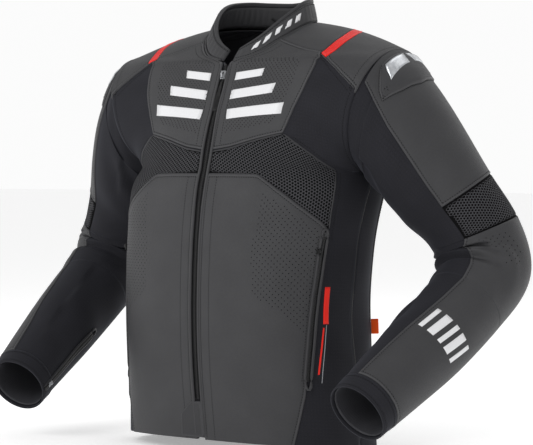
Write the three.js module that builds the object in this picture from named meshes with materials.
import * as THREE from 'three';

// ---- driving dimensions, millimetres, heights measured from the lowest point of the hem ----
const NECK_Y = 36;            // neck centre behind the side seams' zero line
const NECK_Z = 660;           // neck centre above the hem; this point is the origin of the part
const NECK_RADIUS = 90;
const COLLAR_TOP_RADIUS = 79;
const ARMHOLE_RADIUS = 98;
const ARMHOLE_TILT = 15;      // degrees the armhole plane leans outward at the top
const ARMHOLE_CENTRE = new THREE.Vector3(240, 43, 537);
const LEATHER = 2.2;
const SOFTSHELL = 1.6;
const MESH_CLOTH = 1.6;
const LINING = 1.2;
const GAP = 0.35;             // clearance between one layer and the next
const LINING_DEPTH = 6;       // lining below the outer shell
const SLEEVE_LINING_DEPTH = 9;
const FRONT_BOX = 2.8;        // squareness of the front outline
const BACK_BOX = 2.45;        // squareness of the back outline
const ZIP_HALF = 7.5;         // half width of the zip channel
const SEAM = 0.005;           // half clearance between panels, in panel units
const CUFF_START = 8.63;
const ARMHOLE_CLEAR = 0.003;   // the sleeve starts this far from the armhole, in stations
const ELBOW_START = 3.95;
const ELBOW_END = 6.1;

// rows of the torso: [row, y, z] on the centre line, front and back
const FRONT = [[0, -119, 20], [1, -127, 85], [2, -134, 160], [3, -137, 240], [4, -134, 315],
  [5, -127, 375], [6, -119, 418], [7, -110, 450], [8, -101, 486], [9, -91, 520],
  [10, -79, 553], [11, -66, 586], [12, -55, 617]];
const BACK = [[0, 150, 0], [1, 146, 75], [2, 140, 155], [3, 137, 235], [4, 144, 312],
  [5, 154, 370], [6, 162, 415], [7, 166, 450], [8, 167, 490], [9, 164, 530],
  [10, 156, 570], [11, 143, 612], [12, 131, 650], [13, 125, 681]];
// side seam: [row, x, y, z]
const SIDE = [[0, 213, 12, 10], [1, 208, 8, 80], [2, 205, 4, 157], [3, 204, 3, 235],
  [4, 207, 8, 312], [5, 212, 18, 370], [6, 216, 32, 415], [7, 214.6, 43, 442.3]];
// armhole angle from its lowest point at each row, degrees
const ARMHOLE = [[7, 0], [8, 32], [9, 62], [10, 92], [11, 122], [12, 146], [13, 161], [14, 171], [15, 180]];
// neck seam height by angle from the front
const NECK = [[0, 617], [30, 628], [60, 655], [90, 676], [120, 682], [150, 682], [180, 681]];
const COLLAR_HEIGHT = [[0, 14], [25, 25], [60, 32], [90, 36], [180, 36]];
// sleeve: [station, x, y, z, half depth, half width] and the direction it runs in
const SLEEVE = [[0, 240, 43, 537, ARMHOLE_RADIUS, ARMHOLE_RADIUS], [1, 270, 55, 494, 93, 90], [2, 300, 73, 444, 83, 79],
  [3, 326, 94, 398, 73, 75], [4, 360, 112, 344, 70, 72], [5, 379, 110, 292, 70, 71],
  [6, 381, 54, 243, 62, 63], [7, 370, -30, 186, 60, 59], [8, 356, -110, 135, 54, 53],
  [9, 343, -182, 89, 47, 47]];
const RUN = [[0, 0.966, 0, -0.259], [1, 0.85, 0.14, -0.45], [2, 0.66, 0.25, -0.70],
  [3, 0.46, 0.32, -0.83], [4, 0.30, 0.20, -0.93], [5, 0.10, -0.45, -0.89],
  [6, -0.08, -0.80, -0.60], [7, -0.13, -0.84, -0.53], [8, -0.14, -0.84, -0.53],
  [9, -0.14, -0.84, -0.53]];
const ELBOW_AXIS = new THREE.Vector3(-0.869, 0.353, -0.346).normalize();

const part = new THREE.Group();
part.name = 'riding_jacket';

// ---- curves ----
function slope(table, i, col) {
  const lo = Math.max(i - 1, 0);
  const hi = Math.min(i + 1, table.length - 1);
  return (table[hi][col] - table[lo][col]) / (table[hi][0] - table[lo][0]);
}

function along(table, x) {
  const last = table.length - 1;
  const at = Math.min(Math.max(x, table[0][0]), table[last][0]);
  let i = 0;
  while (i < last - 1 && at >= table[i + 1][0]) i += 1;
  const h = table[i + 1][0] - table[i][0];
  const t = (at - table[i][0]) / h;
  const out = [];
  for (let c = 1; c < table[0].length; c += 1) {
    const p = table[i][c];
    const q = table[i + 1][c];
    const m = slope(table, i, c) * h;
    const n = slope(table, i + 1, c) * h;
    out.push((1 + 2 * t) * (1 - t) ** 2 * p + t * (1 - t) ** 2 * m + t * t * (3 - 2 * t) * q + t * t * (t - 1) * n);
  }
  return out;
}

function ease(a, b, x) {
  const t = Math.min(Math.max((x - a) / (b - a), 0), 1);
  return t * t * (3 - 2 * t);
}

const rad = (d) => d * Math.PI / 180;
const ARM_UP = new THREE.Vector3(Math.sin(rad(ARMHOLE_TILT)), 0, Math.cos(rad(ARMHOLE_TILT)));

const fromFront = (angle) => Math.abs(((angle + 180) % 360 + 360) % 360 - 180);

function neckPoint(angle) {
  const a = rad(angle);
  const z = along(NECK, fromFront(angle))[0];
  return new THREE.Vector3(NECK_RADIUS * Math.sin(a), NECK_Y - 1 - NECK_RADIUS * Math.cos(a), z);
}

function centrePoint(row, back) {
  if (!back && row > 12) return neckPoint((row - 12) * 30);
  if (back && row > 13) return neckPoint(180 - (row - 13) * 45);
  const [y, z] = along(back ? BACK : FRONT, row);
  return new THREE.Vector3(0, y, z);
}

function sidePoint(row, back) {
  if (row < 7) return new THREE.Vector3(...along(SIDE, row));
  const a = rad(along(ARMHOLE, row)[0]);
  const p = ARMHOLE_CENTRE.clone().addScaledVector(ARM_UP, -ARMHOLE_RADIUS * Math.cos(a));
  p.y += (back ? 1 : -1) * ARMHOLE_RADIUS * Math.sin(a);
  return p;
}

// torso surface: s from -1 to 1 across, row 0 at the front hem, 15 on the shoulder, 30 at the back hem
function torso(s, row) {
  const back = row > 15;
  const k = back ? 30 - row : row;
  const u = Math.abs(s);
  const a = centrePoint(k, back);
  const b = sidePoint(k, back);
  const e = 2 / (back ? BACK_BOX : FRONT_BOX);
  const w = ease(5.5, 10, k);
  const top = ease(12, 15, k);
  const x = (Math.sin(u * Math.PI / 2) ** e) * (1 - w) + u * w;
  const y0 = (1 - Math.max(Math.cos(u * Math.PI / 2), 0) ** e) * (1 - w) + u ** 2.3 * w;
  const y = y0 * (1 - top) + u * top;
  const z = u * u * (1 - top) + u * top;
  const p = new THREE.Vector3(a.x + (b.x - a.x) * x, a.y + (b.y - a.y) * y, a.z + (b.z - a.z) * z);
  p.z += Math.sin(Math.PI * u) * top * 6;
  if (s < 0) p.x = -p.x;
  return p;
}

// sleeve surface: station 0 at the armhole, 9 at the cuff; angle 0 in the crook, 90 outward, 180 at the elbow
function sleeve(t, angle) {
  const [x, y, z, u, v] = along(SLEEVE, t);
  const run = new THREE.Vector3(...along(RUN, t)).normalize();
  const wide = ELBOW_AXIS.clone().negate();
  wide.addScaledVector(run, -wide.dot(run)).normalize();
  const deep = run.clone().cross(wide);
  const p = new THREE.Vector3(x, y, z);
  p.addScaledVector(deep, Math.cos(rad(angle)) * u);
  return p.addScaledVector(wide, Math.sin(rad(angle)) * v);
}

function collar(angle, w) {
  const a = rad(angle);
  const base = neckPoint(angle);
  const h = along(COLLAR_HEIGHT, fromFront(angle))[0];
  const r = COLLAR_TOP_RADIUS;
  const top = new THREE.Vector3(r * Math.sin(a), 41 - r * Math.cos(a), base.z + h);
  return base.lerp(top, w);
}

// unit normal of a surface by small differences, pointing away from `inside`
function normalOf(surface, a, b, inside, da, db) {
  const along1 = surface(a + da, b).sub(surface(a - da, b));
  const along2 = surface(a, b + db).sub(surface(a, b - db));
  const n = along1.cross(along2);
  if (n.length() < 1e-9) return surface(a, b).sub(inside).normalize();
  n.normalize();
  if (n.dot(surface(a, b).sub(inside)) < 0) n.negate();
  return n;
}

function torsoNormal(s, row) {
  const inset = Math.max(Math.min(s, 0.985), -0.985);
  const k = Math.min(Math.max(row, 0.06), 29.94);
  const low = row < 12 || row > 18;
  const inside = new THREE.Vector3(low ? s * 120 : s * 190, 25, low ? torso(s, row).z : 560);
  return normalOf(torso, inset, k, inside, 0.01, 0.05);
}

function sleeveNormal(t, angle) {
  const k = Math.min(Math.max(t, 0.05), 8.95);
  const inside = new THREE.Vector3(...along(SLEEVE, k).slice(0, 3));
  return normalOf(sleeve, k, angle, inside, 0.04, 1);
}

function collarNormal(angle, w) {
  return normalOf(collar, angle, w, new THREE.Vector3(0, 38, collar(angle, w).z), 1, 0.02);
}

// ---- solids ----
// a sheet of points with normals becomes a closed shell between the two offsets
function thicken(grids, low, high) {
  const ids = new Map();
  const points = [];
  const faces = [];
  const idOf = (q) => {
    const key = [q.p.x, q.p.y, q.p.z].map((c) => Math.round(c * 100)).join(',');
    if (!ids.has(key)) {
      ids.set(key, points.length);
      points.push(q);
    }
    return ids.get(key);
  };
  for (const grid of grids) faces.push(...gridFaces(grid, points, idOf));
  const once = new Set();
  for (const f of faces) {
    for (let i = 0; i < 3; i += 1) once.add(`${f[i]}_${f[(i + 1) % 3]}`);
  }
  const count = points.length;
  const all = faces.map((f) => [f[0], f[1], f[2]]);
  for (const f of faces) all.push([f[2] + count, f[1] + count, f[0] + count]);
  for (const edge of once) {
    const [a, b] = edge.split('_').map(Number);
    if (!once.has(`${b}_${a}`)) {
      all.push([b, a, a + count]);
      all.push([b, a + count, b + count]);
    }
  }
  const position = [];
  for (const offset of [high, low]) {
    for (const q of points) {
      const o = typeof offset === 'function' ? offset(q) : offset;
      position.push(q.p.x + q.n.x * o, q.p.y + q.n.y * o - NECK_Y, q.p.z + q.n.z * o - NECK_Z);
    }
  }
  return geometryOf(position, all);
}

// faces of one grid, all turned the way its normals point
function gridFaces(grid, points, idOf) {
  const found = [];
  let facing = 0;
  for (let i = 0; i + 1 < grid.length; i += 1) {
    for (let j = 0; j + 1 < grid[i].length; j += 1) {
      const quad = [grid[i][j], grid[i + 1][j], grid[i + 1][j + 1], grid[i][j + 1]].map(idOf);
      for (const f of [[quad[0], quad[1], quad[2]], [quad[0], quad[2], quad[3]]]) {
        if (new Set(f).size < 3) continue;
        const [a, b, c] = f.map((id) => points[id]);
        const n = b.p.clone().sub(a.p).cross(c.p.clone().sub(a.p));
        facing += n.dot(a.n.clone().add(b.n).add(c.n));
        found.push(f);
      }
    }
  }
  return facing >= 0 ? found : found.map((f) => [f[0], f[2], f[1]]);
}

function geometryOf(position, faces) {
  const g = new THREE.BufferGeometry();
  g.setAttribute('position', new THREE.Float32BufferAttribute(position, 3));
  g.setIndex(faces.flat());
  g.computeVertexNormals();
  return g;
}

// grid between two edges with the same number of knots
function span(left, right, across, make) {
  const grid = [];
  for (let i = 0; i <= across; i += 1) {
    const f = i / across;
    grid.push(left.map((a, j) => make(a[0] + (right[j][0] - a[0]) * f, a[1] + (right[j][1] - a[1]) * f)));
  }
  return grid;
}

// panel coordinate s whose point lies the given distance from the centre plane
function acrossAt(row, x) {
  let low = 0;
  let high = 1;
  for (let i = 0; i < 40; i += 1) {
    const mid = (low + high) / 2;
    if (torso(mid, row).x < x) low = mid;
    else high = mid;
  }
  return low;
}

const onTorso = (s, row) => ({ p: torso(s, row), n: torsoNormal(s, row) });
// under the arm the sleeve cloth starts a little further from the armhole
function onSleeve(t, angle) {
  const under = (1 + Math.cos(rad(angle - 303))) / 2;
  const station = t + 0.36 * under * Math.max(1 - t, 0);
  return { p: sleeve(station, angle), n: sleeveNormal(station, angle) };
}

const onCollar = (angle, w) => ({ p: collar(angle, w), n: collarNormal(angle, w) });
const flip = (edge) => edge.map(([s, row]) => [-s, row]);

function mirrored(geometry) {
  const g = geometry.clone();
  const p = g.getAttribute('position');
  for (let i = 0; i < p.count; i += 1) p.setX(i, -p.getX(i));
  const index = Array.from(g.getIndex().array);
  for (let i = 0; i < index.length; i += 3) index.splice(i, 3, index[i], index[i + 2], index[i + 1]);
  g.setIndex(index);
  g.computeVertexNormals();
  return g;
}

function add(name, geometry, color, roughness, metalness = 0) {
  const mesh = new THREE.Mesh(geometry, new THREE.MeshStandardMaterial({ color, roughness, metalness }));
  mesh.name = name;
  part.add(mesh);
}

function addPair(name, geometry, color, roughness, metalness = 0) {
  add(`${name}_left`, geometry, color, roughness, metalness);
  add(`${name}_right`, mirrored(geometry), color, roughness, metalness);
}

const LEATHER_GREY = 0x47474a;
const CLOTH = 0x2b2b2f;
const MESH_GREY = 0x3a3a3c;
const BLACK = 0x141416;
const RED = 0xff2823;
const SILVER = 0xc9ccd1;

// ---- torso panels: the edges are lists of [s, row] knots that neighbours share ----
const torsoPanel = (left, right, across, low, high) =>
  thicken([span(left, right, across, onTorso)], low, high);
const shift = (edge, ds, drow = 0) => edge.map(([s, row]) => [s + ds, row + drow]);
const zipEdge = (rows) => rows.map((row) => [acrossAt(row, ZIP_HALF), row]);
const sideEdge = (rows) => rows.map((row) => [Math.abs(row - 15) > 8 ? 0.9997 : 0.9985, row]);

const leatherEdge = [[0.48, 0], [0.605, 1.2], [0.655, 2], [0.7, 3], [0.74, 4], [0.762, 4.6]];
const meshEdge = [[0.765, 4.65], [0.785, 5.8], [0.765, 6.9], [0.665, 7.9], [0.53, 8.68]];
const yokeEdge = [[0.53, 8.74], [0.54, 9.6], [0.55, 10.5], [0.558, 11.2], [0.565, 11.8], [0.568, 12.3],
  [0.57, 12.8]];
const leatherInner = zipEdge([0, 1.4, 2.7, 4, 5.4, 6.6]);
addPair('front_leather', torsoPanel(leatherInner, leatherEdge, 5, 0, LEATHER), LEATHER_GREY, 0.55);
addPair('chest_mesh', torsoPanel(zipEdge([6.65, 6.9, 7.2, 7.5, 7.68]), meshEdge, 5, 0, MESH_CLOTH), MESH_GREY, 0.85);
const yokeInner = [...zipEdge([7.74, 8.8, 10.2, 11.6]), [0.02, 12.4], [0.02, 13.1], [0.02, 13.75]];
addPair('chest_yoke', torsoPanel(yokeInner, yokeEdge, 5, 0, LEATHER), LEATHER_GREY, 0.55);

const softInner = shift([...leatherEdge, ...meshEdge, ...yokeEdge], SEAM);
const softRows = [0, 1.2, 2, 3, 4, 4.6, 4.66, 5.8, 6.9, 7.3, 7.8, 7.9, 8.4, 8.9, 9.3, 9.7, 10.1, 10.5];
addPair('front_softshell', torsoPanel(softInner, sideEdge(softRows), 4, 0, SOFTSHELL), CLOTH, 0.8);

// over the shoulder: inner leather, red stripe, outer leather; front edge to back edge
function seamLine(from, to, steps) {
  return Array.from({ length: steps + 1 }, (_, i) =>
    [0, 1].map((c) => from[c] + (to[c] - from[c]) * i / steps));
}
function overShoulder(front, back, low, high) {
  const rows = [0, 0.2, 0.4, 0.6, 0.8, 1];
  const grid = front.map((a, i) => rows.map((f) => {
    const b = back[i];
    return onTorso(a[0] + (b[0] - a[0]) * f, a[1] + (b[1] - a[1]) * f);
  }));
  return thicken([grid], low, high);
}
const shoulderInner = overShoulder(seamLine([0.02, 13.79], [0.57, 12.83], 5), seamLine([0.02, 16.98], [0.34, 17.43], 5),
  0, LEATHER);
addPair('shoulder_leather', shoulderInner, LEATHER_GREY, 0.55);
addPair('shoulder_stripe', overShoulder(seamLine([0.579, 12.82], [0.68, 12.28], 1), seamLine([0.348, 17.43], [0.44, 17.63], 1),
  0, LEATHER), RED, 0.45);
addPair('shoulder_outer', overShoulder(seamLine([0.688, 12.25], [0.9985, 10.57], 3), seamLine([0.448, 17.63], [0.9985, 19.03], 3),
  0, LEATHER), LEATHER_GREY, 0.55);

// back: yoke, stretch band, lower panel and the two sides
const bothHalves = (left, right, across, low, high) => thicken([
  span(left, right, across, onTorso),
  span(flip(left), flip(right), across, onTorso),
], low, high);
const crossEdge = (seam, to, steps) => Array.from({ length: steps + 1 }, (_, i) => {
  const f = i / steps;
  return seam.map((q, j) => [0, 1].map((c) => q[c] + (to[j][c] - q[c]) * f));
});
const yokeTop = [...seamLine([0, 17.03], [0.34, 17.46], 5), ...seamLine([0.448, 17.67], [0.9985, 19.07], 3)];
const yokeLow = yokeTop.map(([s]) => [s, 20.4 + 0.6 * s]);
const backYoke = crossEdge(yokeTop, yokeLow, 3);
const gridOf = (columns) => columns[0].map((_, j) => columns.map((edge) => onTorso(...edge[j])));
add('back_yoke', thicken([gridOf(backYoke), gridOf(backYoke.map(flip))], 0, LEATHER), LEATHER_GREY, 0.55);
add('back_stretch', bothHalves([[0, 20.46], [0, 21.4], [0, 22.4]], [[0.78, 20.94], [0.78, 21.6], [0.78, 22.4]],
  5, 0, SOFTSHELL), CLOTH, 0.8);
const backEdge = [[0.78, 22.46], [0.77, 24], [0.74, 25.5], [0.7, 27], [0.65, 28.5], [0.6, 30]];
const backMiddle = backEdge.map(([, row]) => [0, row]);
add('back_leather', bothHalves(backMiddle, backEdge, 5, 0, LEATHER), LEATHER_GREY, 0.55);
const backOuter = shift([[0.78, 20.94], [0.78, 21.6], [0.78, 22.4], ...backEdge], SEAM);
const backSide = torsoPanel(backOuter, sideEdge([21.07, 21.8, 22.4, 22.99, 24, 25.5, 27, 28.5, 30]), 4, 0, SOFTSHELL);
addPair('back_side', backSide, CLOTH, 0.8);

// ---- collar ----
const ring = (from, to, steps, w0, w1, make) => {
  const grid = [];
  for (let i = 0; i <= steps; i += 1) {
    const a = from + (to - from) * i / steps;
    grid.push([0, 0.5, 1].map((f) => make(a, w0 + (w1 - w0) * f)));
  }
  return grid;
};
add('collar', thicken([ring(-174, 174, 24, 0.045, 0.93, (a, w) => onCollar(a + 180, w))], -4.5, 0.5),
  LEATHER_GREY, 0.55);
add('collar_trim', thicken([ring(-174, 174, 24, 0.975, 1.08, (a, w) => onCollar(a + 180, w))], -4.5, 0.5),
  BLACK, 0.7);

// ---- main zip ----
const chainEdge = Array.from({ length: 13 }, (_, i) => 1 + i * 0.9).map((row) =>
  [acrossAt(row, ZIP_HALF - 0.4), row]);
add('main_zip_chain', thicken([span(flip(chainEdge), chainEdge, 2, onTorso)], -0.6, 1.4), BLACK, 0.6);
add('zip_end_patch', thicken([span([[-0.045, 0.03], [-0.04, 0.6], [-0.012, 0.9]],
  [[0.004, 0.03], [0.004, 0.6], [0.004, 0.9]], 3, onTorso)], LEATHER + GAP, LEATHER + GAP + 1.4), LEATHER_GREY, 0.55);

function boxAt(point, normal, up, w, h, d, lift) {
  const n = normal.clone().normalize();
  const y = up.clone().addScaledVector(n, -up.dot(n)).normalize();
  const x = y.clone().cross(n);
  const g = new THREE.BoxGeometry(w, h, d);
  const at = point.clone().addScaledVector(n, lift + d / 2);
  const m = new THREE.Matrix4().makeBasis(x, y, n);
  m.setPosition(at.x, at.y - NECK_Y, at.z - NECK_Z);
  g.applyMatrix4(m);
  return g;
}

const UP = new THREE.Vector3(0, 0, 1);
const slideAt = torso(0, 11.3);
add('main_zip_slider', boxAt(slideAt, torsoNormal(0, 11.3), UP, 9, 15, 3.6, 1.8), SILVER, 0.35, 1);
add('main_zip_puller', boxAt(torso(0, 10.25), torsoNormal(0, 10.25), UP, 9, 52, 1.6, 2), BLACK, 0.5);

// ---- pockets ----
const weltRows = [1.5, 2.3, 3.1, 3.8, 4.4];
const weltIn = weltRows.map((row, i) => [[0.59, 0.63, 0.665, 0.693, 0.712][i], row]);
addPair('pocket_welt', torsoPanel(weltIn, shift(weltIn, 0.028), 1, LEATHER + GAP, LEATHER + GAP + 1.6),
  LEATHER_GREY, 0.6);
const pocketSlider = boxAt(torso(0.705, 4.1), torsoNormal(0.705, 4.1), UP, 7, 14, 3, LEATHER + 2.4);
addPair('pocket_slider', pocketSlider, BLACK, 0.5);
add('pocket_tag', torsoPanel([[0.78, 2.85], [0.78, 3.35]], [[0.835, 2.85], [0.835, 3.35]], 2,
  SOFTSHELL + 0.75, SOFTSHELL + 1.55), RED, 0.6);

// ---- waist adjusters, side tab, hang loop, lining ----
// a strap round the side seam; its front end starts at the panel coordinate given
const adjuster = (front) => thicken([
  span([[front, 0.75], [front, 1.45]], [[1, 0.75], [1, 1.45]], 5, onTorso),
  span([[0.84, 29.25], [0.84, 28.55]], [[1, 29.25], [1, 28.55]], 2, onTorso),
], LEATHER + GAP, LEATHER + GAP + 2);
add('waist_adjuster_left', adjuster(0.86), LEATHER_GREY, 0.6);
add('waist_adjuster_right', mirrored(adjuster(0.66)), LEATHER_GREY, 0.6);
add('side_tab', boxAt(torso(0.7, 27.5), torsoNormal(0.7, 27.5), UP, 2.2, 24, 12, LEATHER + 0.8),
  0xf05a1e, 0.6);

const loopArc = (radius) => new THREE.CatmullRomCurve3([-34, -20, 0, 20, 34].map((x, i) =>
  new THREE.Vector3(x, 77 - Math.abs(x) * 0.16, radius + [0, -9, -12, -9, 0][i])));
const loopShape = new THREE.Shape();
loopShape.absellipse(0, 0, 2.2, 1.4, 0, Math.PI * 2, false, 0);
add('hang_loop', new THREE.ExtrudeGeometry(loopShape,
  { steps: 12, curveSegments: 4, bevelEnabled: false, extrudePath: loopArc(36) }), BLACK, 0.7);

// the lining runs up to the zip at the front and hangs clear of the shell elsewhere
const liningRows = [0, 1.4, 2.7, 4, 5.4, 6.6, 7.5, 8.8, 10.2, 11.6, 12.6, 13.4, 14.2, 15];
const liningGap = (q) => (q.front ? -0.6 : -LINING_DEPTH);
const liningPoint = (s, row) => ({ ...onTorso(s, row), front: row < 11.9 && torso(s, row).x < ZIP_HALF + 1 });
const liningFront = liningRows.map((row) => [row < 12 ? acrossAt(row, ZIP_HALF) : 0.02, row]);
const liningBack = [15, 16, 17, 18.5, 20, 21.5, 22.5, 23.4, 24.6, 26, 27.3, 28.6, 30].map((row) => [row > 17 ? acrossAt(row, 0.25) : 0.02, row]);
const liningGrids = [[liningFront, liningPoint], [liningBack, onTorso]].map(([edge, make]) =>
  span(edge, edge.map(([, row]) => [Math.abs(row - 15) >= 8 ? 1 : 0.96, row]), 5, make));
const lining = thicken(liningGrids, (q) => liningGap(q) - LINING, liningGap);
addPair('lining', lining, BLACK, 0.75);

// ---- sleeves ----
const sleevePanel = (left, right, across, low, high) =>
  thicken([span(left, right, across, onSleeve)], low, high);

// closed tube round the sleeve; depth(t) pushes it inward
function sleeveTube(from, to, rings, low, high, depth = () => 0) {
  const grid = [];
  for (let i = 0; i <= rings; i += 1) {
    const t = from + (to - from) * i / rings;
    grid.push(Array.from({ length: 17 }, (_, j) => ({ ...onSleeve(t, (j % 16) * 22.5), depth: depth(t) })));
  }
  return thicken([grid], (q) => low - q.depth, (q) => high - q.depth);
}

// edges are [station, angle]
const at = (stations, angles) => stations.map((t, i) => [t, Array.isArray(angles) ? angles[i] : angles]);
const upperStations = [ARMHOLE_CLEAR, 0.5, 1, 1.5, 2, 2.5, 3];
const frontAngles = [62, 55, 49, 45, 42, 39, 37];
const elbowStations = [3.01, 3.3, 3.6, ELBOW_START - 0.02];
const backAngles = [226, 226, 225, 225, 224, 223, 222];
const upperFront = at(upperStations, frontAngles);
const upperBack = at(upperStations, backAngles);
addPair('upper_leather', sleevePanel(upperFront, upperBack, 8, 0, LEATHER), LEATHER_GREY, 0.55);
const softStations = [...upperStations, ...elbowStations];
addPair('upper_softshell', sleevePanel(at(softStations, [...backAngles, 222, 222, 222, 222].map((a) => a - 359.4)),
  at(softStations, [...frontAngles, 37, 37, 37, 37].map((a) => a - 0.6)), 8, 0, SOFTSHELL), CLOTH, 0.8);
addPair('elbow_mesh', sleevePanel(at(elbowStations, 37), at(elbowStations, 222), 8, 0, MESH_CLOTH),
  MESH_GREY, 0.85);
addPair('elbow_section', sleeveTube(ELBOW_START, ELBOW_END, 6, 0, LEATHER), LEATHER_GREY, 0.55);
const armStations = [ELBOW_END + 0.01, 6.6, 7.2, 7.9, CUFF_START - 0.01];
const armFront = [50, 45, 40, 34, 28];
addPair('forearm_leather', sleevePanel(at(armStations, armFront), at(armStations, 224), 8, 0, LEATHER),
  LEATHER_GREY, 0.55);
addPair('forearm_softshell', sleevePanel(at(armStations, -135.4), at(armStations, armFront.map((a) => a - 0.6)),
  8, 0, SOFTSHELL), CLOTH, 0.8);
addPair('cuff_band', sleeveTube(CUFF_START, 9, 2, 0, SOFTSHELL), CLOTH, 0.8);
const cupRows = [0, 1, 2];
const cupEdges = [upperFront, upperBack].map((edge) => cupRows.map((i) => edge[i]));
addPair('shoulder_cup', sleevePanel(...cupEdges, 8, LEATHER + GAP, LEATHER + 5, 0.125, 0.625), LEATHER_GREY, 0.5);
addPair('shoulder_plate', sleevePanel(at([0.15, 0.45], 84), at([0.15, 0.45], 136), 8,
  LEATHER + 5 + GAP, LEATHER + 7.4), SILVER, 0.3, 1);
addPair('sleeve_lining', sleeveTube(1.2, ELBOW_START - 0.05, 4, -LINING, 0,
  (t) => (t > 3.8 ? 2.2 : SLEEVE_LINING_DEPTH)), BLACK, 0.75);
addPair('forearm_lining', sleeveTube(ELBOW_END + 0.05, 8.95, 4, -LINING, 0, (t) => (t > 8.9 ? 0.45 : 4.5)), BLACK, 0.75);
const cuffSlider = boxAt(sleeve(8.75, 284), sleeveNormal(8.75, 284), sleeve(7.5, 284).sub(sleeve(8.5, 284)),
  7, 14, 3.4, SOFTSHELL + 0.1);
addPair('cuff_slider', cuffSlider, SILVER, 0.35, 1);

export default part;
